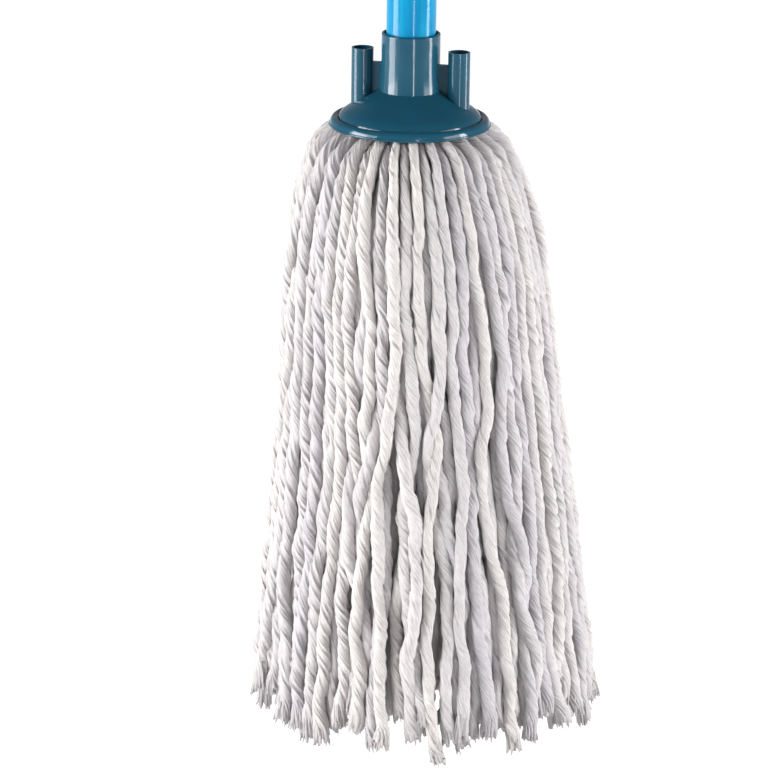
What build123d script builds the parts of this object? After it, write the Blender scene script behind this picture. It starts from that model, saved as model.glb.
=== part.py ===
"""String mop: a long tube handle, a moulded cap that pushes onto it, and a bell of cotton strands.

Millimetres, +Z up, as the mop hangs. The origin is the centre of the hanging hole at the top of the
handle. The cap and the yarn are drawn from the cap's rim, and then lowered to RIM_Z.
"""
import math
import os

from build123d import *

# ---- Handle, from the origin at the hanging hole down ----
HANDLE_LENGTH = 1200.0      # the steel tube, end to end
HANDLE_OD = 22.0            # over the plastic sleeve
SLEEVE_WALL = 0.4
SLEEVE_CLEARANCE = 0.1      # radial, between the sleeve and the steel tube
TUBE_WALL = 0.5
EYE_DROP = 20.0             # from the hanging hole to the tube's top end
HANG_HOLE_R = 4.5
EYE_R = 9.5
EYE_THICKNESS = 8.0
EYE_FILLET = 1.2
HANG_CAP_SKIRT = 26.0       # how far the hanging cap reaches down over the sleeve
HANG_CAP_WALL = 1.3
FIT_CLEARANCE = 0.1         # radial, between pieces that are pushed together for good
TIP_FLANGE = 1.5
TIP_STEM = 25.0
TIP_WALL = 1.5

# ---- Mop cap, in heights above the lower edge of its rim ----
RIM_R = 35.5
RIM_BEAD = 0.55             # radius of the bead along the rim's lower edge
RIM_HEIGHT = 3.9
RIM_WIDTH = 3.8             # from the rim's edge in to the groove round the cone
GROOVE_DEPTH = 0.8
CONE_TOP_Z = 16.0
# The cone's outline: (share of the way out from socket to groove, share of the way down).
CONE_SHAPE = [(0, 0), (0.35, 0.275), (0.62, 0.50), (0.79, 0.65), (0.90, 0.77), (0.97, 0.89), (1, 1)]
# The rim's: (share of the way out from groove to rim's edge, share of the way up to its crest).
RIM_SHAPE = [(0, 0), (0.08, 0.15), (0.22, 0.75), (0.42, 1.0), (0.64, 0.6), (0.84, -0.45), (0.96, -1.9)]
SHELL_WALL = 2.0
SOCKET_TOP_Z = 41.4
SOCKET_FLOOR_Z = -3.0
SOCKET_FLOOR = 2.0
SOCKET_WALL = 1.1
FOOT_FLARE = 0.5            # how much wider the socket is at its foot
FOOT_FLARE_HEIGHT = 10.0
MOUTH_GAP = 0.9             # radial gap to the handle at the socket's mouth
SEAT_CLEARANCE = 0.08       # radial, where the handle is held
SEAT_TOP_Z = 18.0           # above this the bore widens to the mouth
SEAT_GAP = 0.3              # between the handle's tip and the socket's floor
SIDE_TUBE_OD = 9.8
SIDE_TUBE_ID = 8.0
SIDE_TUBE_TOP_Z = 33.7
SIDE_GAP = 3.7              # between the socket and a side tube
WEB_TOP_Z = 27.7
WEB_THICKNESS = 2.0

# ---- Clamp plate and the folded yarn that it holds ----
CLAMP_MARGIN = 0.5          # plate outside its posts
CLAMP_THICKNESS = 2.0
CLAMP_TOP_Z = -11.0
POST_CLEARANCE = 0.1        # radial, between a post and its side tube
POST_TIP_DEPTH = 10.0       # how far a post ends below its tube's mouth
POST_CHAMFER = 1.0
YARN_TOP_Z = 1.0
YARN_GAP = 0.2              # between the folded yarn and what it lies against
STRAND_GAP = 1.1            # from the folded yarn to the strands' slanted ends, at their middles
POST_HOLE_GAP = 0.3

# ---- Strands: routes as (radius, height, lean to +X), chosen by hand ----
STRAND_D = 5.4
STRANDS_PER_RING = 28
OUTER_ROUTE = [
    (28.0, -1.7, 0.0), (35.5, -3.8, 0.2), (41.0, -8.2, 0.6), (44.6, -15.4, 1.0),
    (48.5, -26.0, 1.5), (52.0, -42.0, 2.1), (54.8, -66.0, 3.3), (57.0, -102.0, 5.4),
    (61.2, -142.0, 7.3), (66.4, -186.0, 8.9), (71.2, -230.0, 10.0), (74.4, -264.0, 10.8),
]
SECOND_ROUTE = [
    (28.0, -7.8, 0.0), (34.5, -10.0, 0.3), (39.4, -14.9, 0.8), (42.7, -22.6, 1.3),
    (46.0, -34.0, 1.8), (49.3, -51.0, 2.6), (52.0, -76.0, 3.9), (54.4, -110.0, 5.8),
    (58.8, -150.0, 7.6), (63.4, -192.0, 9.1), (67.8, -232.0, 10.0), (71.0, -262.0, 10.7),
]
# How far a strand wanders sideways at each point of its route. Strands take these in turn.
SWAYS = [
    (0, 0, 0.1, 0.3, 0.2, -0.3, -0.6, -0.2, 0.7, 1.2, 0.6, -0.4),
    (0, 0, -0.1, -0.3, -0.4, -0.1, 0.5, 0.7, 0.2, -0.9, -1.4, -1.0),
    (0, 0, 0.1, 0.1, 0.4, 0.5, 0.1, -0.6, -1.0, -0.5, 0.8, 1.6),
    (0, 0, -0.1, 0.2, 0.3, -0.2, -0.5, 0.1, 0.9, 0.6, -0.7, -1.6),
    (0, 0, 0.1, -0.2, -0.4, 0.2, 0.6, 0.3, -0.7, -1.2, -0.2, 0.9),
    (0, 0, -0.1, -0.3, 0.1, 0.5, 0.2, -0.7, -0.6, 0.8, 1.5, 0.8),
    (0, 0, 0.1, 0.3, -0.1, -0.5, -0.2, 0.6, 1.0, 0.1, -1.2, -1.5),
]
# How much lower than its route each strand ends, taken in turn.
END_DROPS = (0, 4, -5, 2, 8, -3, 5, -7, 1)
ARC_SHARE = 0.45            # share of the shorter run that each arc takes up

# ---- Core: the strands behind the two outer rings, as one hollow bundle ----
CORE_STATIONS = [
    (20.0, -34.0, 1.8), (38.0, -40.0, 2.1), (44.4, -52.0, 2.7), (47.8, -80.0, 4.1), (50.2, -110.0, 5.8),
    (54.4, -150.0, 7.6), (59.0, -192.0, 9.1), (63.4, -232.0, 10.0), (65.0, -250.0, 10.4),
]
CORE_WALL = 7.0

# ---- Worked out from the values above ----
HANDLE_R = HANDLE_OD / 2
TUBE_R = HANDLE_R - SLEEVE_WALL - SLEEVE_CLEARANCE
TUBE_TOP_Z = -EYE_DROP
TUBE_BOTTOM_Z = TUBE_TOP_Z - HANDLE_LENGTH
TIP_Z = TUBE_BOTTOM_Z - TIP_FLANGE
RIM_Z = TIP_Z - SEAT_GAP - SOCKET_FLOOR_Z
MOUTH_R = HANDLE_R + MOUTH_GAP
SEAT_R = HANDLE_R + SEAT_CLEARANCE
SOCKET_R = MOUTH_R + SOCKET_WALL
SIDE_TUBE_X = SOCKET_R + SIDE_GAP + SIDE_TUBE_OD / 2
POST_R = SIDE_TUBE_ID / 2 - POST_CLEARANCE
CLAMP_R = SIDE_TUBE_X + POST_R + CLAMP_MARGIN
GROOVE_R = RIM_R - RIM_WIDTH
GROOVE_Z = RIM_HEIGHT - GROOVE_DEPTH


def tube(outer_r, inner_r, bottom_z, top_z):
    """A plain tube on the Z axis."""
    height = top_z - bottom_z
    wall = Cylinder(outer_r, height) - Cylinder(inner_r, height)
    return Pos(0, 0, (bottom_z + top_z) / 2) * wall


def rod(radius, bottom_z, top_z):
    """A plain rod on the Z axis."""
    return Pos(0, 0, (bottom_z + top_z) / 2) * Cylinder(radius, top_z - bottom_z)


def turned(points):
    """The solid that a closed outline of (radius, height) points makes when it turns about Z."""
    outline = Polyline(*[(r, 0, z) for r, z in points], close=True)
    return revolve(make_face(outline), Axis.Z)


# ---- Handle ----
def make_handle_tube():
    return tube(TUBE_R, TUBE_R - TUBE_WALL, TUBE_BOTTOM_Z, TUBE_TOP_Z)


def make_handle_sleeve():
    return tube(HANDLE_R, HANDLE_R - SLEEVE_WALL, TUBE_BOTTOM_Z, TUBE_TOP_Z)


def make_tip_plug():
    """A cup that closes the tube's lower end, with a flange that the tube stands on."""
    stem_r = TUBE_R - TUBE_WALL - FIT_CLEARANCE
    flange = rod(TUBE_R, TIP_Z, TUBE_BOTTOM_Z)
    stem = tube(stem_r, stem_r - TIP_WALL, TUBE_BOTTOM_Z, TUBE_BOTTOM_Z + TIP_STEM)
    return flange + stem


def make_hang_cap():
    """A skirt over the handle's top end, drawn in to a flat eye with the hanging hole."""
    skirt_r = HANDLE_R + FIT_CLEARANCE + HANG_CAP_WALL
    roof_z = TUBE_TOP_Z + SEAT_GAP
    body = turned([
        (0, roof_z - HANG_CAP_SKIRT), (skirt_r, roof_z - HANG_CAP_SKIRT), (skirt_r, roof_z),
        (EYE_R, roof_z + skirt_r - EYE_R + 1), (EYE_THICKNESS / 2, -EYE_R), (0, -EYE_R),
    ])
    eye = Cylinder(EYE_R, EYE_THICKNESS) + Pos(0, -EYE_DROP / 2, 0) * Box(2 * EYE_R, EYE_DROP, EYE_THICKNESS)
    faces = eye.faces().sort_by(Axis.Z)
    eye = Rot(90, 0, 0) * fillet(faces[0].edges() + faces[-1].edges(), EYE_FILLET)
    hole = Rot(90, 0, 0) * Cylinder(HANG_HOLE_R, 4 * EYE_R)
    seat = rod(HANDLE_R + FIT_CLEARANCE, roof_z - HANG_CAP_SKIRT, roof_z)
    return body + eye - hole - seat


# ---- Cap ----
def cone_point(out, down):
    """The point of the cone's outline at a share of its way out and a share of its way down."""
    return SOCKET_R + out * (GROOVE_R - SOCKET_R), CONE_TOP_Z + down * (GROOVE_Z - CONE_TOP_Z)


def cone_height(radius):
    """The height of the cone's outer face at a radius."""
    points = [cone_point(out, down) for out, down in CONE_SHAPE]
    for (r0, z0), (r1, z1) in zip(points, points[1:]):
        if radius <= r1:
            return z0 + (z1 - z0) * (radius - r0) / (r1 - r0)
    return GROOVE_Z


def make_mop_cap():
    """The rim, the cone and the socket as one turned shell, with two side tubes and their webs."""
    foot_r = SOCKET_R + FOOT_FLARE
    foot_z = cone_height(foot_r)
    cone = [(foot_r, foot_z)] + [cone_point(out, down) for out, down in CONE_SHAPE[1:]]
    rim = [(GROOVE_R + out * RIM_WIDTH, GROOVE_Z + up * GROOVE_DEPTH) for out, up in RIM_SHAPE]
    rim.append((RIM_R, 2 * RIM_BEAD))
    lip = SOCKET_WALL / 2
    lip_bulge = lip * math.sqrt(0.5)
    drop = SHELL_WALL * math.hypot(1, (CONE_TOP_Z - GROOVE_Z) / (GROOVE_R - SOCKET_R))
    under_cone = [(r, z - drop) for r, z in (cone_point(out, down) for out, down in CONE_SHAPE)]

    def at(r, z):
        return (r, 0, z)

    top = [at(MOUTH_R, SOCKET_TOP_Z), at(SOCKET_R - lip, SOCKET_TOP_Z)]
    side = [at(SOCKET_R, SOCKET_TOP_Z - lip), at(SOCKET_R, foot_z + FOOT_FLARE_HEIGHT)]
    lip_middle = at(SOCKET_R - lip + lip_bulge, SOCKET_TOP_Z - lip + lip_bulge)
    outline = [
        Polyline(at(0, SOCKET_FLOOR_Z), at(SEAT_R, SOCKET_FLOOR_Z), at(SEAT_R, SEAT_TOP_Z), *top),
        ThreePointArc(top[-1], lip_middle, side[0]),
        Line(*side),
        Spline(side[-1], at(SOCKET_R + FOOT_FLARE / 4, foot_z + FOOT_FLARE_HEIGHT / 2), at(foot_r, foot_z)),
        Spline(*[at(r, z) for r, z in cone]),
        Spline(*[at(r, z) for r, z in rim]),
        Polyline(
            at(*rim[-1]), at(RIM_R, 0), at(RIM_R - SHELL_WALL, 0), at(RIM_R - SHELL_WALL, under_cone[-1][1]),
            *[at(r, z) for r, z in reversed(under_cone)],
            at(SOCKET_R, SOCKET_FLOOR_Z - SOCKET_FLOOR), at(0, SOCKET_FLOOR_Z - SOCKET_FLOOR),
            at(0, SOCKET_FLOOR_Z),
        ),
    ]
    shell = revolve(make_face(Wire([edge for curve in outline for edge in curve.edges()])), Axis.Z)
    shell += Pos(0, 0, RIM_BEAD) * Torus(RIM_R - RIM_BEAD / 3, RIM_BEAD)

    # Side tubes and webs stand on the cone: each starts at the cone's underside where it is lowest.
    for side in (-1, 1):
        tube_foot_z = cone_height(SIDE_TUBE_X + SIDE_TUBE_OD / 2) - drop / 2
        shell += Pos(side * SIDE_TUBE_X, 0, 0) * rod(SIDE_TUBE_OD / 2, tube_foot_z, SIDE_TUBE_TOP_Z)
        web_length = SIDE_TUBE_X - (MOUTH_R + SOCKET_R) / 2
        web_foot_z = cone_height(SIDE_TUBE_X) - drop / 2
        web = Box(web_length, WEB_THICKNESS, WEB_TOP_Z - web_foot_z)
        shell += Pos(side * (SIDE_TUBE_X - web_length / 2), 0, (WEB_TOP_Z + web_foot_z) / 2) * web
    for side in (-1, 1):
        shell -= Pos(side * SIDE_TUBE_X, 0, 0) * rod(SIDE_TUBE_ID / 2, SOCKET_FLOOR_Z, SIDE_TUBE_TOP_Z + 1)
    return shell


def make_clamp_plate():
    """A disc that holds the folded yarn up against the cap, on two posts pushed into the side tubes."""
    plate = rod(CLAMP_R, CLAMP_TOP_Z - CLAMP_THICKNESS, CLAMP_TOP_Z)
    for side in (-1, 1):
        post = rod(POST_R, CLAMP_TOP_Z, SIDE_TUBE_TOP_Z - POST_TIP_DEPTH)
        post = chamfer(post.edges().sort_by(Axis.Z)[-1], POST_CHAMFER)
        plate += Pos(side * SIDE_TUBE_X, 0, 0) * post
    return plate


def make_folded_yarn():
    """The folded middles of the strands, packed in a ring round the socket's foot."""
    outer_r = OUTER_ROUTE[0][0] - STRAND_GAP
    ring = tube(outer_r, SOCKET_R + YARN_GAP, CLAMP_TOP_Z + YARN_GAP / 2, YARN_TOP_Z)
    for side in (-1, 1):
        hole = rod(POST_R + POST_HOLE_GAP, CLAMP_TOP_Z - 1, YARN_TOP_Z + 1)
        ring -= Pos(side * SIDE_TUBE_X, 0, 0) * hole
    return ring


# ---- Strands ----
def strand_points(route, slot, number):
    """A strand's route as points: its ring's route at its own angle, with its own sway and end."""
    angle = math.radians(360 * slot / STRANDS_PER_RING)
    sway = SWAYS[3 * number % len(SWAYS)]
    points = []
    for (radius, z, lean), aside in zip(route, sway):
        x = radius * math.cos(angle) - aside * math.sin(angle) + lean
        y = radius * math.sin(angle) + aside * math.cos(angle)
        points.append(Vector(x, y, z))
    points[-1] += Vector(0, 0, -END_DROPS[number % len(END_DROPS)])
    return points


def arc_radii(points):
    """The radius at each corner: the arc takes up ARC_SHARE of the shorter of its two runs."""
    radii = []
    for before, corner, after in zip(points, points[1:], points[2:]):
        run_in, run_out = corner - before, after - corner
        half_turn = math.radians(run_in.get_angle(run_out)) / 2
        radii.append(ARC_SHARE * min(run_in.length, run_out.length) / math.tan(half_turn))
    return radii


def make_strand(name, route, slot, number):
    points = strand_points(route, slot, number)
    radii = arc_radii(points)
    path = FilletPolyline(*points, radius=radii)
    start = Plane(origin=points[0], z_dir=points[1] - points[0])
    strand = sweep(start * Circle(STRAND_D / 2), path=path)
    section = math.pi * STRAND_D ** 2 / 4
    share = strand.volume / (section * path.length)
    print(f"{name}: length {path.length:.1f}, volume over section times length {share:.4f}, "
          f"tightest radius {min(radii):.1f}, radii {' '.join(f'{r:.0f}' for r in radii)}")
    return strand


def make_inner_strands():
    """The inner strands as one bell-shaped bundle, hollow so that it weighs what they weigh."""
    def bell(inset, stations):
        rings = [Pos(lean, 0, z) * Circle(radius - inset) for radius, z, lean in stations]
        return loft(rings, ruled=True)

    radius, z, lean = CORE_STATIONS[-1]
    floor = [(radius, z + CORE_WALL, lean)]
    roof_radius, roof_z, roof_lean = CORE_STATIONS[1]
    roof = [(roof_radius, roof_z - CORE_WALL, roof_lean)]
    return bell(0, CORE_STATIONS) - bell(CORE_WALL, roof + CORE_STATIONS[2:-1] + floor)


def build():
    """All nodes by name. What hangs from the cap's rim is lowered to RIM_Z."""
    nodes = {
        "handle_tube": make_handle_tube(),
        "handle_sleeve": make_handle_sleeve(),
        "tip_plug": make_tip_plug(),
        "hang_cap": make_hang_cap(),
    }
    from_rim = {
        "mop_cap": make_mop_cap(),
        "clamp_plate": make_clamp_plate(),
        "folded_yarn": make_folded_yarn(),
        "inner_strands": make_inner_strands(),
    }
    for number in range(STRANDS_PER_RING):
        name = f"outer_strand_{number + 1:02d}"
        from_rim[name] = make_strand(name, OUTER_ROUTE, number, number)
    for pair in range(STRANDS_PER_RING // 2):
        name = f"second_strands_{pair + 1:02d}"
        numbers = (2 * pair, 2 * pair + 1)
        from_rim[name] = Compound(
            children=[make_strand(name, SECOND_ROUTE, number + 0.5, number + 4) for number in numbers]
        )
    nodes.update({name: Pos(0, 0, RIM_Z) * shape for name, shape in from_rim.items()})
    return nodes


os.makedirs("parts", exist_ok=True)
for node_name, node_shape in build().items():
    export_step(node_shape, f"parts/{node_name}.step")
print(f"rim at {RIM_Z:.1f}, lowest strand at {RIM_Z + OUTER_ROUTE[-1][1] - max(END_DROPS):.1f}")
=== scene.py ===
# %% [markdown]
# # A string mop, built around its working model
# The mop hangs from the eye at the top of its handle. Its handle, its cap and their sizes come from a
# finished CAD model, so this lesson adds what CAD leaves plain: about two hundred cotton strands with
# their twisted singles and cut ends, the wrinkled film on the handle, and every surface finish.
# Everything is in metres, in the frame that the CAD model uses, with +Z up.

# %% Load the working model
import math

import bpy
import numpy as np
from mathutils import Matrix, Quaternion, Vector


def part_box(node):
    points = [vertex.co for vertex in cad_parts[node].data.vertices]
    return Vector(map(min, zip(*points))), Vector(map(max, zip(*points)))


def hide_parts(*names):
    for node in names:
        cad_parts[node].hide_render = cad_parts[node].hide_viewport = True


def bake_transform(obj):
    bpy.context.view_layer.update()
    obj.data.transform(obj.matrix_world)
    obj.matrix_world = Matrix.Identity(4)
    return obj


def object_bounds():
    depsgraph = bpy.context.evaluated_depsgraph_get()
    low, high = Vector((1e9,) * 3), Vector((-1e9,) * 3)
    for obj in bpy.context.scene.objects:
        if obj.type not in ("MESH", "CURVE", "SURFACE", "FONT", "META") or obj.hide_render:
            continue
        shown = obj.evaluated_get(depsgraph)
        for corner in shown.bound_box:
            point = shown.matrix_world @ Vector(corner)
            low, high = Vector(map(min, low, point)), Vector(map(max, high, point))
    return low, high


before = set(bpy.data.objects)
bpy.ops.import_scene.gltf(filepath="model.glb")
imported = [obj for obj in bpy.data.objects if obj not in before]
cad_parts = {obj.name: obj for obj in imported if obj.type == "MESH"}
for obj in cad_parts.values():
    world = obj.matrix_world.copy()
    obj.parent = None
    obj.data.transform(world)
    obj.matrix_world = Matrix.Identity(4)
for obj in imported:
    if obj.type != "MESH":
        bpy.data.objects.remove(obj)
cad_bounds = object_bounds()
RNG = np.random.default_rng(28)
MM = 0.001
HUB_BELOW_RIM = 0.005       # the socket's foot is the cap's lowest point, and the rim is this much higher
RIM_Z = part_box("mop_cap")[0].z + HUB_BELOW_RIM
print("rim height", round(RIM_Z, 4), "nodes", len(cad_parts))

# %% [markdown]
# ## Mesh and curve helpers
# A mesh can be typed in with from_pydata, which is slow for a hundred thousand points, or poured in as
# whole arrays with foreach_set. Every piece here is a grid of points, ring after ring, so one function
# that joins rings and closes both ends serves them all.


# %% Helpers: grids of points to meshes
def ring_faces(rings, columns):
    """Quads between neighbouring points of a closed grid: row m, column k meets row m+1, column k+1."""
    m, k = np.meshgrid(np.arange(rings - 1), np.arange(columns), indexing="ij")
    nxt = (k + 1) % columns
    quads = np.stack([m * columns + k, m * columns + nxt, (m + 1) * columns + nxt, (m + 1) * columns + k], -1)
    return quads.reshape(-1, 4)


def ring_uv(rings, columns):
    """UV of each quad's four corners: u is the share of the way round, v is the row's share."""
    m, k = np.meshgrid(np.arange(rings - 1), np.arange(columns), indexing="ij")
    corners = [(k, m), (k + 1, m), (k + 1, m + 1), (k, m + 1)]
    return np.stack([np.stack([u / columns, v / (rings - 1)], -1) for u, v in corners], -2).reshape(-1, 4, 2)


def signed_volume(points, faces):
    """Six times the volume that a closed mesh holds: the sum of a . (b x c) over its triangles."""
    a, b, c, d = (points[faces[:, i]] for i in range(4))
    return np.sum(a * np.cross(b, c)) + np.sum(a * np.cross(c, d))


def close_tube(points):
    """A tube of points[rings, columns, 3] with a pole in the middle of each end: its points in one list,
    its quads with their UV, and the triangles of its ends as (pole, point, next point)."""
    rings, columns = points.shape[:2]
    poles = np.stack([points[0].mean(0), points[-1].mean(0)])
    flat = np.concatenate([points.reshape(-1, 3), poles])
    quads, uv = ring_faces(rings, columns), ring_uv(rings, columns)
    k = np.arange(columns)
    nxt = (k + 1) % columns
    first_pole, last_pole, last_row = rings * columns, rings * columns + 1, (rings - 1) * columns
    ends = np.concatenate([
        np.stack([np.full(columns, first_pole), nxt, k, k], -1),
        np.stack([np.full(columns, last_pole), last_row + k, last_row + nxt, last_row + nxt], -1),
    ])
    if signed_volume(flat, np.concatenate([quads, ends])) < 0:
        quads, uv, ends = quads[:, ::-1], uv[:, ::-1], ends[:, [0, 2, 1, 1]]
    return flat, quads, uv, ends[:, :3]


def fill_mesh(mesh, points, quads, triangles):
    """Pours points and faces into an empty mesh, all smooth."""
    mesh.vertices.add(len(points))
    mesh.vertices.foreach_set("co", points.astype(np.float32).ravel())
    corners = np.concatenate([quads.ravel(), triangles.ravel()])
    mesh.loops.add(len(corners))
    mesh.loops.foreach_set("vertex_index", corners.astype(np.int32))
    sizes = np.concatenate([np.full(len(quads), 4), np.full(len(triangles), 3)])
    mesh.polygons.add(len(sizes))
    mesh.polygons.foreach_set("loop_start", (np.cumsum(sizes) - sizes).astype(np.int32))
    mesh.polygons.foreach_set("use_smooth", np.ones(len(sizes), bool))
    mesh.update(calc_edges=True)


def grid_mesh(name, tubes, material, attributes=()):
    """One smooth mesh from several closed tubes. A tube is (points[rings, columns, 3], values), where
    values has one array[rings, columns] for each named attribute."""
    points, quads, quad_uv, triangles, base = [], [], [], [], 0
    fields = {key: [] for key in attributes}
    for grid, values in tubes:
        flat, tube_quads, tube_uv, tube_ends = close_tube(grid)
        points.append(flat)
        quads.append(tube_quads + base)
        quad_uv.append(tube_uv.reshape(-1, 2))
        triangles.append(tube_ends + base)
        for key in attributes:
            value = np.asarray(values[key], float)
            fields[key].append(np.concatenate([value.ravel(), [value[0].mean(), value[-1].mean()]]))
        base += len(flat)
    points, quads, triangles = (np.concatenate(parts) for parts in (points, quads, triangles))
    mesh = bpy.data.meshes.new(name)
    fill_mesh(mesh, points, quads, triangles)
    uv = np.concatenate(quad_uv + [np.zeros((triangles.size, 2))])
    mesh.uv_layers.new(name="along").data.foreach_set("uv", uv.astype(np.float32).ravel())
    for key in attributes:
        field = mesh.attributes.new(key, "FLOAT", "POINT")
        field.data.foreach_set("value", np.concatenate(fields[key]).astype(np.float32))
    mesh.validate()
    mesh.materials.append(material)
    obj = bpy.data.objects.new(name, mesh)
    bpy.context.scene.collection.objects.link(obj)
    return obj


# %% Helpers: smooth waves and curves
def smooth_steps(x, low, high):
    """0 below low, 1 above high, and 3t^2 - 2t^3 between them."""
    t = np.clip((x - low) / (high - low), 0, 1)
    return t * t * (3 - 2 * t)


def waves(x, wavelengths, rng):
    """A smooth irregular line: sines of the given wavelengths, each with its own phase and weight."""
    total = np.zeros_like(x)
    for wavelength in wavelengths:
        total += rng.uniform(0.6, 1.0) * np.sin(2 * np.pi * (x / wavelength + rng.uniform()))
    return total / len(wavelengths)


def nurbs_line(points, spacing):
    """The smooth NURBS curve with these control points, as points a fixed distance apart along it."""
    curve = bpy.data.curves.new("route", "CURVE")
    curve.dimensions = "3D"
    curve.resolution_u = 24
    spline = curve.splines.new("NURBS")
    spline.points.add(len(points) - 1)
    spline.points.foreach_set("co", np.c_[points, np.ones(len(points))].ravel())
    spline.order_u = 3
    spline.use_endpoint_u = True
    holder = bpy.data.objects.new("route", curve)
    bpy.context.scene.collection.objects.link(holder)
    bpy.context.view_layer.update()
    mesh = bpy.data.meshes.new_from_object(holder)
    line = np.empty(len(mesh.vertices) * 3)
    mesh.vertices.foreach_get("co", line)
    line = line.reshape(-1, 3)
    bpy.data.meshes.remove(mesh)
    bpy.data.objects.remove(holder)
    bpy.data.curves.remove(curve)
    if np.linalg.norm(line[0] - points[0]) > np.linalg.norm(line[-1] - points[0]):
        line = line[::-1]
    along = np.concatenate([[0], np.cumsum(np.linalg.norm(np.diff(line, axis=0), axis=1))])
    steps = np.linspace(0, along[-1], int(round(along[-1] / spacing)) + 1)
    return np.stack([np.interp(steps, along, line[:, i]) for i in range(3)], -1)


# %% [markdown]
# ## The camera
# A packshot of a mop is taken with a long lens from a little above and a little to the right. A long
# lens far away keeps upright lines almost parallel, so the camera stands over two metres off and its
# lens frames about 35 cm at the mop. It is rolled by a hair, as a mop hung by hand is never quite plumb.

# %% Camera
CAMERA_AZIMUTH = math.radians(10.5)
CAMERA_HEIGHT_ANGLE = math.radians(16.2)
CAMERA_ROLL = math.radians(0.8)
CAMERA_DISTANCE = 2.2
FRAME_WIDTH = 0.3495
AIM_BELOW_RIM = 0.1221
AIM_LEFT = 0.0071
view_right = Vector((math.cos(CAMERA_AZIMUTH), math.sin(CAMERA_AZIMUTH), 0))
view_back = Vector((math.sin(CAMERA_AZIMUTH) * math.cos(CAMERA_HEIGHT_ANGLE),
                    -math.cos(CAMERA_AZIMUTH) * math.cos(CAMERA_HEIGHT_ANGLE),
                    math.sin(CAMERA_HEIGHT_ANGLE)))
aim = Vector((0, 0, RIM_Z - AIM_BELOW_RIM)) - view_right * AIM_LEFT
camera = bpy.data.objects.new("camera", bpy.data.cameras.new("camera"))
camera.data.sensor_width = 36.0
camera.data.lens = camera.data.sensor_width * CAMERA_DISTANCE / FRAME_WIDTH
camera.data.clip_end = 50.0
camera.location = aim + view_back * CAMERA_DISTANCE
camera.rotation_euler = (view_back.to_track_quat("Z", "Y") @ Quaternion((0, 0, 1), CAMERA_ROLL)).to_euler()
bpy.context.scene.collection.objects.link(camera)
bpy.context.scene.camera = camera
print("lens", round(camera.data.lens), "mm")

# %% [markdown]
# ## Where the strands run
# Each strand leaves the cap's rim, bends down over its neighbour and hangs. The routes below are the
# design's own, as (radius, height below the rim, lean), turned to each strand's place round the rim.
# They could be simulated as falling rope, but the design already says where the outer strands hang.

# %% Routes of the strands, in metres
STRAND_D = 0.0054
STRANDS_PER_RING = 28
OUTER_ROUTE = [
    (0.0280, -0.0017, 0.0), (0.0355, -0.0038, 0.0002), (0.0410, -0.0082, 0.0006), (0.0446, -0.0154, 0.0010),
    (0.0485, -0.0260, 0.0015), (0.0520, -0.0420, 0.0021), (0.0548, -0.0660, 0.0033),
    (0.0570, -0.1020, 0.0054), (0.0612, -0.1420, 0.0073), (0.0664, -0.1860, 0.0089),
    (0.0712, -0.2300, 0.0100), (0.0744, -0.2640, 0.0108),
]
SECOND_ROUTE = [
    (0.0280, -0.0078, 0.0), (0.0345, -0.0100, 0.0003), (0.0394, -0.0149, 0.0008), (0.0427, -0.0226, 0.0013),
    (0.0460, -0.0340, 0.0018), (0.0493, -0.0510, 0.0026), (0.0520, -0.0760, 0.0039),
    (0.0544, -0.1100, 0.0058), (0.0588, -0.1500, 0.0076), (0.0634, -0.1920, 0.0091),
    (0.0678, -0.2320, 0.0100), (0.0710, -0.2620, 0.0107),
]
# The strands behind those two rings, which the design holds as one bundle: (strands, route).
INNER_RINGS = [
    (60, [(0.0265, -0.0120, 0.0), (0.0340, -0.0145, 0.0004), (0.0392, -0.0215, 0.0012),
          (0.0430, -0.0330, 0.0018), (0.0466, -0.0510, 0.0026), (0.0494, -0.0800, 0.0042),
          (0.0522, -0.1150, 0.0060), (0.0564, -0.1540, 0.0078), (0.0610, -0.1950, 0.0092),
          (0.0650, -0.2310, 0.0100), (0.0678, -0.2590, 0.0106)]),
    (46, [(0.0240, -0.0150, 0.0), (0.0290, -0.0200, 0.0006), (0.0345, -0.0360, 0.0019),
          (0.0395, -0.0650, 0.0033), (0.0440, -0.1100, 0.0058), (0.0500, -0.1700, 0.0084),
          (0.0548, -0.2200, 0.0098), (0.0575, -0.2560, 0.0106)]),
    (30, [(0.0200, -0.0170, 0.0), (0.0230, -0.0300, 0.0016), (0.0270, -0.0600, 0.0031),
          (0.0320, -0.1150, 0.0060), (0.0375, -0.1700, 0.0084), (0.0415, -0.2200, 0.0098),
          (0.0435, -0.2560, 0.0106)]),
    (18, [(0.0120, -0.0200, 0.0), (0.0140, -0.0500, 0.0026), (0.0170, -0.1100, 0.0058),
          (0.0210, -0.1800, 0.0088), (0.0230, -0.2520, 0.0105)]),
]
SWAYS = MM * np.array([
    (0, 0, 0.1, 0.3, 0.2, -0.3, -0.6, -0.2, 0.7, 1.2, 0.6, -0.4),
    (0, 0, -0.1, -0.3, -0.4, -0.1, 0.5, 0.7, 0.2, -0.9, -1.4, -1.0),
    (0, 0, 0.1, 0.1, 0.4, 0.5, 0.1, -0.6, -1.0, -0.5, 0.8, 1.6),
    (0, 0, -0.1, 0.2, 0.3, -0.2, -0.5, 0.1, 0.9, 0.6, -0.7, -1.6),
    (0, 0, 0.1, -0.2, -0.4, 0.2, 0.6, 0.3, -0.7, -1.2, -0.2, 0.9),
    (0, 0, -0.1, -0.3, 0.1, 0.5, 0.2, -0.7, -0.6, 0.8, 1.5, 0.8),
    (0, 0, 0.1, 0.3, -0.1, -0.5, -0.2, 0.6, 1.0, 0.1, -1.2, -1.5),
])
END_DROPS = MM * np.array((0, 4, -5, 2, 8, -3, 5, -7, 1))

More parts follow.
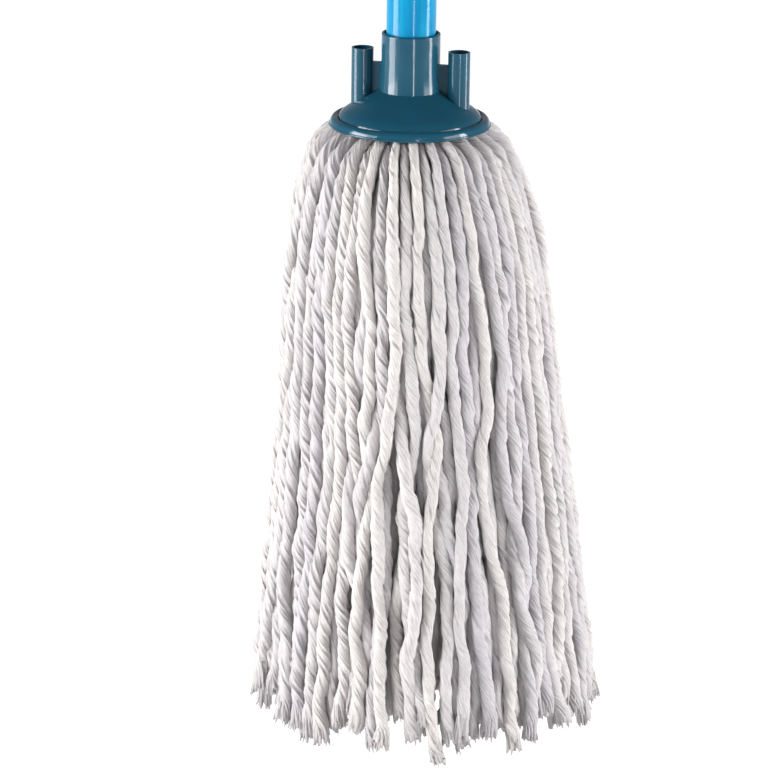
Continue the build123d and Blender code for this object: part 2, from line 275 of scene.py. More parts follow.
# Under the rim the second ring's strands are pressed up and out between the outer ones.
SECOND_LIFT = MM * np.array([3.4, 3.6, 3.4, 2.8, 1.8, 0.8, 0, 0, 0, 0, 0, 0])
SECOND_OUT = MM * np.array([0, 0.6, 1.4, 2.0, 2.2, 2.0, 1.8, 1.6, 1.4, 1.4, 1.4, 1.4])


def route_points(route, count, slot, number, lift=0.0, out=0.0):
    """A route's control points at its own angle round the rim, with its own sway and end."""
    angle = 2 * np.pi * slot / count
    radius, height, lean = np.array(route).T
    radius, height = radius + out, height + lift
    aside = SWAYS[3 * number % len(SWAYS)][:len(route)]
    points = np.stack([radius * np.cos(angle) - aside * np.sin(angle) + lean,
                       radius * np.sin(angle) + aside * np.cos(angle),
                       RIM_Z + height], -1)
    points[-1, 2] -= END_DROPS[number % len(END_DROPS)]
    return points


# %% The strands' own list
ROW_SPACING = 0.0018        # from one ring of a strand's points to the next
FIRST_INNER_RING = 2        # after the outer ring and the second one
RING_TURN = 0.3             # how far each inner ring is turned against the one before, in strands
strands = []
for number in range(STRANDS_PER_RING):
    strands.append({"name": f"strand_outer_{number + 1:02d}", "ring": 0,
                    "stands_for": f"outer_strand_{number + 1:02d}",
                    "control": route_points(OUTER_ROUTE, STRANDS_PER_RING, number, number)})
for number in range(STRANDS_PER_RING):
    strands.append({"name": f"strand_second_{number + 1:02d}", "ring": 1,
                    "stands_for": f"second_strands_{number // 2 + 1:02d}",
                    "control": route_points(SECOND_ROUTE, STRANDS_PER_RING, number + 0.5, number + 4,
                                            SECOND_LIFT, SECOND_OUT)})
for ring, (count, route) in enumerate(INNER_RINGS, start=FIRST_INNER_RING):
    for number in range(count):
        strands.append({"ring": ring,
                        "control": route_points(route, count, number + RING_TURN * ring, number + 2)})
for strand in strands:
    strand["line"] = nurbs_line(strand["control"], ROW_SPACING)
print(len(strands), "strands, the first is", round(ROW_SPACING * (len(strands[0]["line"]) - 1), 4), "m long")

# %% [markdown]
# ## Letting the strands wander and settle
# Hanging strands are never evenly spaced: they drift sideways, cross and lean on each other, and leave
# narrow dark gaps. First each strand is given a slow sideways drift of its own. Then, at every level,
# strands that overlap push each other apart, a little at a time, as a soft-body solver would do.

# %% Where each strand is at each level
LEVEL_TOP = -0.010          # below the rim: above this the strands are held
LEVEL_STEP = 0.004
LEVEL_BOTTOM = -0.272
PUSH_OUT = MM * np.array([0.3, 1.2, 3.2, 2.4])      # how far each ring presses outward
levels = np.arange(LEVEL_TOP, LEVEL_BOTTOM, -LEVEL_STEP)


def level_positions(line):
    """x and y of a strand at each level, from its line: heights fall along it, so they can be looked up."""
    height = line[:, 2] - RIM_Z
    order = np.argsort(height)
    return np.stack([np.interp(levels, height[order], line[order, i]) for i in range(2)], -1)


packed = [s for s in strands if s["ring"] < len(PUSH_OUT)]      # the others are hidden, and stay
rings = np.array([s["ring"] for s in packed])
outer_two = rings < FIRST_INNER_RING
rest = np.stack([level_positions(s["line"]) for s in packed])
free = smooth_steps(-levels, 0.009, 0.030)[None, :, None]
middle = rest[:STRANDS_PER_RING].mean(0)
outward = rest - middle
outward /= np.linalg.norm(outward, axis=-1, keepdims=True)
sideways = np.stack([-outward[..., 1], outward[..., 0]], -1)
print(len(packed), "strands at", len(levels), "levels")

# %% Wander
CROSSING_SHARE = 0.34       # the share of strands that cross their neighbours
EARLY_SHARE = 0.45          # and the share of those that do it close to the rim
SLANT_OUTER = 0.0085        # how far a crossing strand goes aside, in the outer two rings
SLANT_INNER = 0.013         # and in the others
CROSSING_OUT = 0.0016       # how far it rides out over its neighbours
DRIFT = 1.8                 # the slow sideways drift, in units of the spread at that level
SPREAD_AT_RIM = 0.0024
SPREAD_GROWS = 0.0022
DEPTH_DRIFT = 0.0020        # the slow drift in and out
spread = SPREAD_AT_RIM + SPREAD_GROWS * smooth_steps(-levels, 0.02, 0.16)
drift = np.stack([waves(levels, (0.21, 0.13, 0.085), RNG) + 0.22 * waves(levels, (0.044, 0.030), RNG)
                  for _ in packed])
crossing = RNG.uniform(size=len(packed)) < CROSSING_SHARE
early = RNG.uniform(size=len(packed)) < EARLY_SHARE
slant = crossing * RNG.uniform(-1, 1, len(packed)) * np.where(outer_two, SLANT_OUTER, SLANT_INNER)
depth = np.stack([waves(levels, (0.15, 0.08), RNG) for _ in packed])
passage = np.where(early[:, None], smooth_steps(-levels, 0.010, 0.075),
                   smooth_steps(-levels, 0.05, 0.22))
across = DRIFT * drift * spread + slant[:, None] * passage
deeper = DEPTH_DRIFT * depth + PUSH_OUT[rings][:, None] + CROSSING_OUT * crossing[:, None]
wanted = rest + free * (sideways * across[..., None] + outward * deeper[..., None])
print(int(crossing.sum()), "strands cross")

# %% Settle
TOUCH_AT_RIM = 0.0041       # how close two strands' middles may lie, where they are pressed together
TOUCH = 0.0051              # and where they hang free
SETTLE_ROUNDS = 90
SETTLE_STEP = 0.6           # the share of a round's move that is made
PULL_BACK = 0.02            # how strongly a strand is drawn to where it wants to hang
STIFFNESS = 0.30            # how strongly it straightens in each round
SMOOTH_ROUNDS = 6           # rounds of straightening at the end
LAST_STIFFNESS = 0.5
FARTHEST_MOVE = 0.0088      # how far a strand of the two outer rings may end from the design's line
limit = np.linalg.norm(rest[:STRANDS_PER_RING] - middle, axis=-1).mean(0) + 0.0006
limit = limit + np.where(crossing, 0.0022, RNG.uniform(0, 0.0012, len(packed)))[:, None]
touch = TOUCH_AT_RIM + (TOUCH - TOUCH_AT_RIM) * smooth_steps(-levels, 0.015, 0.060)


def straighten(place, strength):
    """Moves each level by a share of the way to the middle of the levels above and below it."""
    between = 0.5 * (place[:, :-2] + place[:, 2:])
    place[:, 1:-1] += strength * free[:, 1:-1] * (between - place[:, 1:-1])


def pushes(place):
    """For each strand and level, half of every overlap with another strand, straight away from it."""
    gap = place[:, None] - place[None]
    distance = np.linalg.norm(gap, axis=-1) + 1e-9
    overlap = np.clip(touch - distance, 0, None) * (distance > 1e-6)
    return (gap / distance[..., None] * (0.5 * overlap)[..., None]).sum(1)


place = wanted.copy()
for _ in range(SETTLE_ROUNDS):
    move = pushes(place) + PULL_BACK * (wanted - place)
    move[:, 1:-1] = 0.25 * move[:, :-2] + 0.5 * move[:, 1:-1] + 0.25 * move[:, 2:]
    place = place + SETTLE_STEP * move * free
    straighten(place, STIFFNESS)
    reach = np.linalg.norm(place - middle, axis=-1)
    place = middle + (place - middle) * np.minimum(1, limit / reach)[..., None]
for _ in range(SMOOTH_ROUNDS):
    straighten(place, LAST_STIFFNESS)
travel = np.linalg.norm(place - rest, axis=-1)
shorter = np.where(outer_two[:, None], np.minimum(1, FARTHEST_MOVE / (travel + 1e-9)), 1)
shifts = (place - rest) * shorter[..., None]
for strand, shift in zip(packed, shifts):
    height = strand["line"][:, 2] - RIM_Z
    strand["line"][:, :2] += np.stack([np.interp(-height, -levels, shift[:, i]) for i in range(2)], -1)
moves = np.linalg.norm(shifts, axis=-1).max(1) / MM
print("largest moves in mm, ring by ring:",
      [round(float(moves[rings == r].max()), 1) for r in range(len(PUSH_OUT))])

# %% [markdown]
# ## The finish of the yarn
# Undyed cotton is a warm off-white that is never one colour: some strands are creamy and some a cooler
# grey, the grooves between the singles and the opened cut ends get painted shade, and fibres catch the
# light along each single. The tone and the painted shade come from numbers stored at the mesh's points, and
# the fibres from stretched noise.


# %% Node helpers and shared groups
def new_material(name):
    """A node material with its Principled shader, its tree and a short way to add nodes."""
    material = bpy.data.materials.new(name)
    material.use_nodes = True
    tree = material.node_tree
    shader = next(n for n in tree.nodes if n.type == "BSDF_PRINCIPLED")
    return material, tree, shader


def add(tree, kind, settings=None, inputs=None):
    """Adds a node. inputs maps a socket's name or number to a value, or to another node's output."""
    node = tree.nodes.new(kind)
    for key, value in (settings or {}).items():
        setattr(node, key, value)
    for key, value in (inputs or {}).items():
        if isinstance(value, bpy.types.NodeSocket):
            tree.links.new(value, node.inputs[key])
        else:
            node.inputs[key].default_value = value
    return node


def new_group(name, inputs, outputs):
    """An empty node group. inputs maps names to (socket type, default); outputs maps names to types."""
    group = bpy.data.node_groups.new(name, "ShaderNodeTree")
    for key, (kind, default) in inputs.items():
        socket = group.interface.new_socket(key, in_out="INPUT", socket_type=kind)
        if default is not None:
            socket.default_value = default
    for key, kind in outputs.items():
        group.interface.new_socket(key, in_out="OUTPUT", socket_type=kind)
    return group, group.nodes.new("NodeGroupInput"), group.nodes.new("NodeGroupOutput")


def place_group(tree, group, inputs):
    """Places a node group, with its own values."""
    return add(tree, "ShaderNodeGroup", {"node_tree": group}, inputs)


def mix_colour(tree, factor, first, second, blend="MIX"):
    """A colour mix: sockets 6 and 7 of the Mix node are its two colours."""
    return add(tree, "ShaderNodeMix", {"data_type": "RGBA", "blend_type": blend},
               {0: factor, 6: first, 7: second}).outputs[2]


# Patchy wear and handling marks: a soft noise between two values, which plastic and film both use.
patches, patch_in, patch_out = new_group(
    "soft patches",
    {"Scale": ("NodeSocketFloat", 60.0), "Low": ("NodeSocketFloat", 0.2),
     "High": ("NodeSocketFloat", 0.3)},
    {"Value": "NodeSocketFloat"})
patch_place = add(patches, "ShaderNodeTexCoord")
patch_noise = add(patches, "ShaderNodeTexNoise", None,
                  {"Vector": patch_place.outputs["Object"], "Scale": patch_in.outputs["Scale"],
                   "Detail": 4.0})
patch_range = add(patches, "ShaderNodeMapRange", None,
                  {"Value": patch_noise.outputs[0], "From Min": 0.3, "From Max": 0.7,
                   "To Min": patch_in.outputs["Low"], "To Max": patch_in.outputs["High"]})
patches.links.new(patch_range.outputs[0], patch_out.inputs["Value"])

# %% Cotton yarn
COTTON_WARM = (0.635, 0.605, 0.592, 1)
COTTON_COOL = (0.515, 0.488, 0.515, 1)
# The darker cotton below is painted shade: grooves and opened cut ends are mixed toward it.
COTTON_GROOVE_SHADE = (0.31, 0.285, 0.295, 1)
cotton, tree, shader = new_material("cotton yarn")
tone = add(tree, "ShaderNodeAttribute", {"attribute_name": "tone"}).outputs["Fac"]
ridge = add(tree, "ShaderNodeAttribute", {"attribute_name": "ridge"}).outputs["Fac"]
along = add(tree, "ShaderNodeUVMap", {"uv_map": "along"}).outputs[0]
stretched = add(tree, "ShaderNodeMapping", None, {"Vector": along, "Scale": (44.0, 60.0, 1.0)}).outputs[0]
fibres = add(tree, "ShaderNodeTexNoise", {"noise_dimensions": "2D"},
             {"Vector": stretched, "Scale": 1.6, "Detail": 3.0}).outputs[0]
place = add(tree, "ShaderNodeTexCoord").outputs["Object"]
blotch = add(tree, "ShaderNodeTexNoise", None, {"Vector": place, "Scale": 95.0, "Detail": 3.0}).outputs[0]
mottle = add(tree, "ShaderNodeMath", {"operation": "MULTIPLY_ADD"}, {0: blotch, 1: 0.5, 2: -0.25}).outputs[0]
toned = add(tree, "ShaderNodeMath", {"operation": "ADD", "use_clamp": True}, {0: tone, 1: mottle}).outputs[0]
colour = mix_colour(tree, toned, COTTON_COOL, COTTON_WARM)
# Painted shade: where the ridge attribute is low, in the grooves between singles and along the opened cut
# ends, the colour is mixed toward the darker cotton.
groove = add(tree, "ShaderNodeMapRange", None,
             {"Value": ridge, "From Min": -0.75, "From Max": 0.75, "To Min": 0.56, "To Max": 0.0}).outputs[0]
colour = mix_colour(tree, groove, colour, COTTON_GROOVE_SHADE)
streak = add(tree, "ShaderNodeMapRange", None,
             {"Value": fibres, "From Min": 0.3, "From Max": 0.7, "To Min": 0.80, "To Max": 1.10}).outputs[0]
colour = mix_colour(tree, 1.0, colour, streak, "MULTIPLY")
tree.links.new(colour, shader.inputs["Base Color"])
bump = add(tree, "ShaderNodeBump", None, {"Strength": 0.8, "Distance": 0.00022, "Height": fibres})
tree.links.new(bump.outputs[0], shader.inputs["Normal"])
shader.inputs["Roughness"].default_value = 0.92
shader.inputs["Specular IOR Level"].default_value = 0.25
shader.inputs["Sheen Weight"].default_value = 0.15
shader.inputs["Sheen Roughness"].default_value = 0.5
print(cotton.name, "has", len(tree.nodes), "nodes")

# %% [markdown]
# ## A strand of cotton
# A mop strand is a loose rope of about a dozen thin singles, all turning one way. It could be a round
# tube with painted lines, but its outline would stay smooth. Here the tube's columns run along the
# singles themselves: every fourth column is a groove, and the whole grid turns about the strand's line.


# %% One strand's surface
LAY_LENGTH = 0.029          # one full turn of the singles
GROOVE = 0.062              # a groove's depth as a share of the strand's radius
UNTWIST = 0.017             # the length over which a cut end opens out
BLUNT = 0.0018              # how far the cut end stays above the end of the loose singles
FARTHEST = 0.0044           # the widest that a strand's end may open, from its middle
LUMP = 0.007                # how long a thick or thin place in one single is
TIP_SHADE = 1.1             # how much painted shade darkens the opened end, in units of a groove's painted shade
KINK = 0.0014               # how far the small bends of folded and combed yarn stray
UNEVEN_SINGLES = 0.07       # how much the singles differ in thickness
UNEVEN_GROOVES = 0.75       # how much the grooves between them differ in depth
DEEPER_AT_END = 3.2         # how much deeper the grooves of the opened end are
UNEVEN_STRAND = 0.075       # how much the whole strand swells and thins
WIDER_AT_END = 0.24         # how much wider the opened end is
STOPS_TURNING = 0.93        # how much of their turn the singles lose at the end
OVAL = 0.12                 # how far the section is from round
PRESSED = 0.22              # how much narrower it is pressed at the rim
FRAY_LOW, FRAY_HIGH = -0.0024, 0.0018       # how unevenly the singles are cut off


def strand_frames(line):
    """Along a line: its direction, the way out from the mop's axis, and the way round."""
    tangent = np.gradient(line, axis=0)
    tangent /= np.linalg.norm(tangent, axis=1, keepdims=True)
    radial = np.c_[line[:, :2], np.zeros(len(line))]
    radial /= np.linalg.norm(radial, axis=1, keepdims=True)
    out = radial - tangent * np.sum(radial * tangent, axis=1, keepdims=True)
    out /= np.linalg.norm(out, axis=1, keepdims=True)
    return tangent, out, np.cross(tangent, out)


def kinked(line, rng):
    """The line with small bends of its own: waves aside and outward that grow from the rim down."""
    run = ROW_SPACING * np.arange(len(line))
    _, out, around = strand_frames(line)
    grown = smooth_steps(run, 0.015, 0.08)
    aside = grown * KINK * waves(run, (0.072, 0.041, 0.025), rng)
    bulge = grown * KINK * (0.5 * waves(run, (0.047, 0.031), rng) - 0.2)
    return line + aside[:, None] * around + bulge[:, None] * out


def uneven(along_line, singles, rng):
    """A soft random value for each row and single: random numbers LUMP apart, joined smoothly."""
    knots = int(along_line[-1] / LUMP) + 3
    values = rng.standard_normal((knots, singles))
    place = along_line / LUMP
    low = place.astype(int)
    share = smooth_steps(place - low, 0, 1)[:, None]
    return values[low] * (1 - share) + values[low + 1] * share


def turning(along_line, step, opening, rng):
    """The angle of the singles along a strand: 360 degrees each LAY_LENGTH, with a slow sway of about
    half a radian. Near the cut end the singles almost stop turning."""
    lay = LAY_LENGTH * rng.uniform(0.85, 1.2)
    turn = np.cumsum((1 - STOPS_TURNING * opening) * step) * 2 * np.pi / lay + rng.uniform(0, 2 * np.pi)
    return turn + 0.5 * waves(along_line, (0.07, 0.033), rng)


def strand_surface(line, step, radius, singles, columns_each, tone, rng):
    """The grid of one strand: at each row the radius is R(1 - g(1 - |cos|)) for a column's place between
    two grooves, with uneven R and g for each single. The section is oval, pressed narrow at the rim, and
    opens out at the cut end. Returns the points and what the finish needs: each one's painted shade for the
    grooves and the cut end, stored as ridge, and its tone."""
    along_line = np.arange(len(line)) * step
    tangent, out, around = strand_frames(line)
    columns = singles * columns_each
    k = np.arange(columns)
    lobe = k // columns_each
    opening = 1 - smooth_steps(along_line[-1] - along_line, 0.0, UNTWIST)
    ridge = np.abs(np.cos(np.pi * ((k % columns_each) / columns_each + 0.5)))
    thick = 1 + UNEVEN_SINGLES * rng.standard_normal(singles)
    thick = (thick + UNEVEN_SINGLES * uneven(along_line, singles, rng))[:, lobe]
    depth = np.clip(1 + UNEVEN_GROOVES * uneven(along_line, singles, rng), 0.0, 2.2)[:, lobe]
    groove = GROOVE * depth * (1 + DEEPER_AT_END * opening)[:, None]
    slow = waves(along_line, (0.09, 0.05, 0.021), rng) + 0.55 * waves(along_line, (0.013, 0.0085), rng)
    size = radius * (1 + UNEVEN_STRAND * slow) * (1 + WIDER_AT_END * opening)
    grid_r = size[:, None] * thick * (1 - groove * (1 - ridge))
    angle = turning(along_line, step, opening, rng)[:, None] + 2 * np.pi * (k / columns)
    flat = 1 + OVAL * waves(along_line, (0.11, 0.06), rng) + 0.10 * opening
    flat = flat * (1 - PRESSED * (1 - smooth_steps(along_line, 0.012, 0.045)))
    wide = grid_r * np.cos(angle) * flat[:, None]
    deep = grid_r * np.sin(angle) / flat[:, None]
    keep = np.minimum(1, FARTHEST / np.hypot(wide, deep))
    points = line[:, None] + (keep * wide)[..., None] * around[:, None]
    points += (keep * deep)[..., None] * out[:, None]
    ragged = rng.uniform(FRAY_LOW, FRAY_HIGH, singles)[lobe]
    ragged = ragged + 0.0012 * np.cos(angle[-1] + rng.uniform(0, 6))
    points += ((ragged - BLUNT) * opening[:, None] ** 3)[..., None] * tangent[:, None]
    inner = points[-1] * 0.45 + (line[-1] - tangent[-1] * BLUNT) * 0.55 - tangent[-1] * 0.0012
    points = np.concatenate([points, inner[None]])
    # Painted shade, stored in the ridge attribute: lower in the grooves by their depth and lower along the
    # opened cut end, and deepest at the middle point of the cut end.
    groove_and_tip_shade = 1 - np.clip(depth, 0, 1.4) * (1 - ridge) - TIP_SHADE * opening[:, None]
    groove_and_tip_shade = np.concatenate([groove_and_tip_shade, np.full((1, columns), -0.6)])
    slow_tone = np.clip(tone + 0.10 * waves(along_line, (0.13, 0.06), rng), 0, 1)
    tones = np.concatenate([slow_tone, slow_tone[-1:]])[:, None] * np.ones(columns)
    return points, {"ridge": groove_and_tip_shade, "tone": tones}


print("one strand's section is", STRAND_D / MM, "mm wide, one turn", LAY_LENGTH / MM, "mm long")

# %% Loose singles at the cut ends
LOOSE_ROWS = 7
LOOSE_COLUMNS = 5
THINNEST, THICKEST = 0.00042, 0.00070       # the radius of a thread where it starts


def loose_singles(line, step, radius, count, tone, rng):
    """Thin threads that leave a cut end: each starts on the strand a little way up, runs down beside it
    and curls outward, with a radius that tapers as (1 - 0.6 t^5)."""
    tangent, out, around = strand_frames(line)
    tubes = []
    for _ in range(count):
        start = len(line) - 1 - int(rng.integers(4, 8) * ROW_SPACING / step)
        t = np.linspace(0, 1, LOOSE_ROWS)
        rows = start + t * (len(line) - 1 - start)
        along_strand = np.stack([np.interp(rows, np.arange(len(line)), line[:, i]) for i in range(3)], -1)
        along_strand += tangent[-1] * (rng.uniform(-0.0022, 0.0008) * t)[:, None]
        angle = rng.uniform(0, 2 * np.pi)
        side = np.cos(angle) * around[-1] * 1.1 + np.sin(angle) * out[-1]
        curl = np.cross(side, tangent[-1]) * rng.uniform(-0.0013, 0.0013)
        spread_out = np.minimum(radius * (0.82 + rng.uniform(0.05, 0.60) * t ** 2), FARTHEST - 0.0010)
        middle_line = along_strand + side * spread_out[:, None] + curl * (t ** 2)[:, None]
        thick = rng.uniform(THINNEST, THICKEST) * (1 - 0.6 * t ** 5)
        phi = 2 * np.pi * np.arange(LOOSE_COLUMNS) / LOOSE_COLUMNS
        points = (middle_line[:, None] + (thick[:, None] * np.cos(phi))[..., None] * around[-1]
                  + (thick[:, None] * np.sin(phi))[..., None] * out[-1])
        shape = points.shape[:2]
        # The loose threads get a little painted shade through the ridge attribute.
        tubes.append((points, {"ridge": np.full(shape, 0.3), "tone": np.full(shape, tone)}))
    return tubes


print("each loose thread has", LOOSE_ROWS, "rings of", LOOSE_COLUMNS, "points")

# %% Make the strands
DECLARED_SECOND = 12        # second-ring strands that are listed beside the 28 outer ones
STRANDS_PER_PIECE = 15      # of the inner rings, which are made in a few pieces each
# For each ring: the singles in a strand, the columns of points for each single, and the loose threads.
DETAIL = [(13, 4, 14), (13, 4, 14), (10, 3, 9), (9, 2, 5), (8, 2, 3), (8, 2, 3)]
made = []
for strand in strands:
    ring = strand["ring"]
    if ring < len(PUSH_OUT):
        strand["line"] = kinked(strand["line"], RNG)
    stride = 1 if ring <= FIRST_INNER_RING else 2
    line = strand["line"][::stride]
    singles, columns_each, loose = DETAIL[ring]
    singles += int(RNG.integers(-1, 2))
    tone = float(np.clip(RNG.normal(0.5, 0.24), 0, 1))
    radius = 0.5 * STRAND_D * RNG.uniform(0.98, 1.12)
    seed = np.random.default_rng(int(RNG.integers(1 << 30)))
    step = stride * ROW_SPACING
    strand["tubes"] = [strand_surface(line, step, radius, singles, columns_each, tone, seed)]
    strand["tubes"] += loose_singles(line, step, radius, loose, tone, seed)
for strand in strands:
    if strand["ring"] < FIRST_INNER_RING:
        piece = grid_mesh(strand["name"], strand["tubes"], cotton, ("ridge", "tone"))
        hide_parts(strand["stands_for"])
        made.append((piece, strand))
inner_pieces = []
for ring, (count, _) in enumerate(INNER_RINGS, start=FIRST_INNER_RING):
    members = [s for s in strands if s["ring"] == ring]
    for part, first in enumerate(range(0, count, STRANDS_PER_PIECE), start=1):
        tubes = [tube for s in members[first:first + STRANDS_PER_PIECE] for tube in s["tubes"]]
        piece = grid_mesh(f"strands_inner_{ring - 1}_{part}", tubes, cotton, ("ridge", "tone"))
        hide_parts("inner_strands")
        inner_pieces.append(piece)
print("triangles in one outer strand", sum(len(p.vertices) - 2 for p in made[0][0].data.polygons))

# %% Bake the yarn pieces' placing into their meshes
for piece in [piece for piece, _ in made] + inner_pieces:
    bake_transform(piece)
declared = made[:STRANDS_PER_RING + DECLARED_SECOND]
for piece, strand in declared:
    line = strand["line"]
print(len(made) + len(inner_pieces), "pieces of yarn,", len(declared), "of them declared as cords")

# %% [markdown]
# ## Glossy plastic and film
# The cap is one moulding in petrol blue: a smooth, slightly uneven gloss that mirrors the lamps as long
# soft lines. The handle wears a bright blue shrunk film, whose upright wrinkles break up its highlights and
# whose troughs get painted shade.

# %% Petrol plastic
PETROL = (0.011, 0.073, 0.118, 1)
PETROL_DEEP = (0.009, 0.062, 0.104, 1)
GREY = (0.05, 0.05, 0.055, 1)
GREY_DEEP = (0.035, 0.035, 0.04, 1)


def moulded_plastic(name, colour, deep, rough_low, rough_high):
    """Gloss plastic: two close shades in soft clouds, patchy gloss, and the faint swell of a moulding."""
    material, tree, shader = new_material(name)
    cloud = place_group(tree, patches, {"Scale": 45.0, "Low": 0.0, "High": 1.0}).outputs[0]
    tree.links.new(mix_colour(tree, cloud, deep, colour), shader.inputs["Base Color"])
    gloss = place_group(tree, patches,
                        {"Scale": 160.0, "Low": rough_low, "High": rough_high}).outputs[0]
    tree.links.new(gloss, shader.inputs["Roughness"])
    place = add(tree, "ShaderNodeTexCoord").outputs["Object"]
    swell = add(tree, "ShaderNodeTexNoise", None, {"Vector": place, "Scale": 130.0, "Detail": 1.0}).outputs[0]
    bump = add(tree, "ShaderNodeBump", None, {"Strength": 0.35, "Distance": 0.0006, "Height": swell})
    tree.links.new(bump.outputs[0], shader.inputs["Normal"])
    shader.inputs["Specular IOR Level"].default_value = 0.15
    shader.inputs["Coat Weight"].default_value = 0.16
    shader.inputs["Coat Roughness"].default_value = 0.05
    return material


petrol = moulded_plastic("petrol plastic", PETROL, PETROL_DEEP, 0.11, 0.19)
handle_cap_finish = moulded_plastic("handle cap plastic", PETROL, PETROL_DEEP, 0.30, 0.42)
tip_finish = moulded_plastic("tip plastic", GREY, GREY_DEEP, 0.5, 0.65)
print("plastics:", petrol.name, handle_cap_finish.name, tip_finish.name)

# %% Blue film and steel
FILM_BLUE = (0.0, 0.265, 0.460, 1)
FILM_CREASE_SHADE = (0.0, 0.185, 0.385, 1)
STEEL_GREY = (0.56, 0.57, 0.58, 1)
film, tree, shader = new_material("blue handle film")
place = add(tree, "ShaderNodeTexCoord").outputs["Object"]
upright = add(tree, "ShaderNodeMapping", None, {"Vector": place, "Scale": (1.0, 1.0, 0.12)}).outputs[0]
creases = add(tree, "ShaderNodeTexNoise", None, {"Vector": upright, "Scale": 260.0, "Detail": 2.0}).outputs[0]
# Painted shade: the film is mixed toward the darker blue in the troughs of the same noise that bumps its
# wrinkles.
shade = add(tree, "ShaderNodeMapRange", None,
            {"Value": creases, "From Min": 0.35, "From Max": 0.65, "To Min": 0.0, "To Max": 1.0}).outputs[0]
tree.links.new(mix_colour(tree, shade, FILM_CREASE_SHADE, FILM_BLUE), shader.inputs["Base Color"])
gloss = place_group(tree, patches, {"Scale": 300.0, "Low": 0.08, "High": 0.2}).outputs[0]
tree.links.new(gloss, shader.inputs["Roughness"])
bump = add(tree, "ShaderNodeBump", None, {"Strength": 0.6, "Distance": 0.0005, "Height": creases})
tree.links.new(bump.outputs[0], shader.inputs["Normal"])
shader.inputs["Specular IOR Level"].default_value = 0.07
shader.inputs["Coat Weight"].default_value = 0.20
shader.inputs["Coat Roughness"].default_value = 0.04

steel, tree, shader = new_material("handle steel")
place = add(tree, "ShaderNodeTexCoord").outputs["Object"]
drawn = add(tree, "ShaderNodeMapping", None, {"Vector": place, "Scale": (1.0, 1.0, 0.02)}).outputs[0]
lines = add(tree, "ShaderNodeTexNoise", None, {"Vector": drawn, "Scale": 900.0, "Detail": 3.0}).outputs[0]
rough = add(tree, "ShaderNodeMapRange", None, {"Value": lines, "To Min": 0.25, "To Max": 0.45}).outputs[0]
tree.links.new(rough, shader.inputs["Roughness"])
shader.inputs["Base Color"].default_value = STEEL_GREY
shader.inputs["Metallic"].default_value = 1.0

FINISHES = {"mop_cap": petrol, "clamp_plate": petrol, "hang_cap": handle_cap_finish, "tip_plug": tip_finish,
            "handle_tube": steel, "handle_sleeve": film, "folded_yarn": cotton}
for node, finish in FINISHES.items():
    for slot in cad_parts[node].material_slots:
        slot.material = finish
print(len(FINISHES), "nodes have their finish")

# %% [markdown]
# ## Floor, world and lamps
# A packshot is lit by large soft boxes at both sides, with a pale sweep below and behind that is lit by
# itself, so that it stays even. Narrow strips that are only mirrored give the cap and the handle their
# long upright reflections without lighting the yarn. The ceiling stays darker than the walls, so that
# the cap's cone, which mirrors it, stays deep in colour.

# %% Floor
FLOOR_BELOW_TIPS = 0.10
FLOOR_HALF_WIDTH = 9.0
BRIGHTEST_X, BRIGHTEST_Y = -0.22, 1.25      # where the floor glows most
floor_z = cad_bounds[0][2] - FLOOR_BELOW_TIPS
half = FLOOR_HALF_WIDTH
floor_mesh = bpy.data.meshes.new("floor")
floor_mesh.from_pydata([(-half, -half, floor_z), (half, -half, floor_z), (half, half, floor_z),
                        (-half, half, floor_z)], [], [(0, 1, 2, 3)])
floor = bpy.data.objects.new("floor", floor_mesh)
bpy.context.scene.collection.objects.link(floor)
floor_finish, tree, shader = new_material("pale floor")
shader.inputs["Base Color"].default_value = (0.35, 0.35, 0.35, 1)
shader.inputs["Roughness"].default_value = 0.9
shader.inputs["Specular IOR Level"].default_value = 0.0
shader.inputs["Emission Color"].default_value = (1, 1, 1, 1)
place = add(tree, "ShaderNodeTexCoord").outputs["Object"]
moved = add(tree, "ShaderNodeMapping", None,
            {"Vector": place, "Location": (-BRIGHTEST_X, -BRIGHTEST_Y, -floor_z)}).outputs[0]
far = add(tree, "ShaderNodeVectorMath", {"operation": "LENGTH"}, {0: moved}).outputs["Value"]
glow = add(tree, "ShaderNodeMapRange", None,
           {"Value": far, "From Min": 1.3, "From Max": 5.0, "To Min": 0.97, "To Max": 0.80}).outputs[0]
behind = add(tree, "ShaderNodeSeparateXYZ", None, {0: place}).outputs[1]
swept = add(tree, "ShaderNodeMapRange", None,
            {"Value": behind, "From Min": -1.6, "From Max": 0.30, "To Min": 0.86, "To Max": 1.0}).outputs[0]
glow = add(tree, "ShaderNodeMath", {"operation": "MULTIPLY"}, {0: glow, 1: swept}).outputs[0]
tree.links.new(glow, shader.inputs["Emission Strength"])
floor_mesh.materials.append(floor_finish)
print("the floor lies at z", round(float(floor_z), 3))

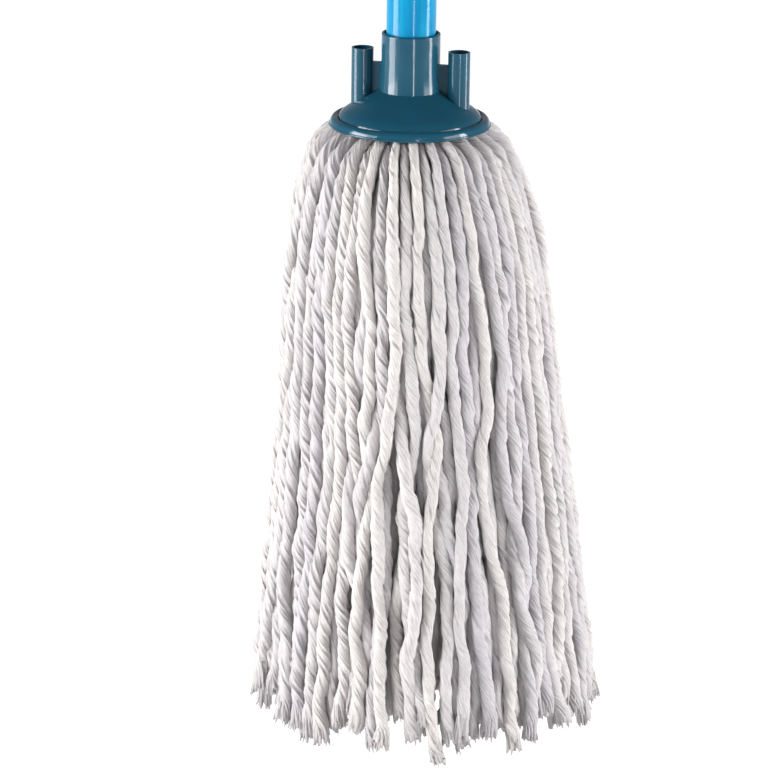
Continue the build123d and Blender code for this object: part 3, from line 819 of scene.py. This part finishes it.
# %% World and lamps
world = bpy.data.worlds.new("studio")
bpy.context.scene.world = world
world.use_nodes = True
tree = world.node_tree
tree.nodes.clear()
direction = add(tree, "ShaderNodeTexCoord").outputs["Generated"]
height = add(tree, "ShaderNodeSeparateXYZ", None, {0: direction}).outputs[2]
level = add(tree, "ShaderNodeMapRange", None,
            {"Value": height, "From Min": 0.05, "From Max": 0.80, "To Min": 0.45, "To Max": 0.04}).outputs[0]
seen = add(tree, "ShaderNodeLightPath").outputs["Is Camera Ray"]
strength = add(tree, "ShaderNodeMix", {"data_type": "FLOAT"}, {0: seen, 2: level, 3: 0.94}).outputs[0]
glow = add(tree, "ShaderNodeBackground", None, {0: (1, 1, 1, 1), 1: strength})
sky = add(tree, "ShaderNodeOutputWorld")
tree.links.new(glow.outputs[0], sky.inputs[0])


def lamp(name, azimuth, distance, low, high, width, power, only_mirrored=False):
    """An upright soft box at an azimuth from the camera's side, facing the mop, from low to high. One that
    is only mirrored shows in gloss and lights nothing, like a strip lamp behind a polarising filter."""
    data = bpy.data.lights.new(name, "AREA")
    data.shape = "RECTANGLE"
    data.size, data.size_y = width, high - low
    data.energy = power
    turn = CAMERA_AZIMUTH + math.radians(azimuth)
    box = bpy.data.objects.new(name, data)
    box.location = (math.sin(turn) * distance, -math.cos(turn) * distance, RIM_Z + (low + high) / 2)
    box.rotation_euler = (math.radians(90), 0, turn)
    box.visible_camera = False
    box.visible_diffuse = not only_mirrored
    bpy.context.scene.collection.objects.link(box)


# name, azimuth in degrees, distance, low and high above the rim, width, power in watts
lamp("key soft box", -70, 2.0, -0.28, 0.90, 1.5, 66)
lamp("fill soft box", 70, 2.0, -0.22, 0.90, 1.3, 50)
lamp("front soft box", 4, 3.2, 0.2, 1.1, 1.2, 5)
lamp("left strip", -78, 1.2, -0.36, 0.50, 0.60, 25, True)
lamp("front strip", 11.5, 1.2, -0.36, 0.50, 0.055, 6, True)
lamp("right strip", 83, 1.2, -0.36, 0.50, 0.24, 13, True)
lamp("back light", 178, 1.6, 1.0, 1.5, 0.5, 3)
bpy.context.scene.view_settings.view_transform = "Standard"
print(len(bpy.data.lights), "lamps")
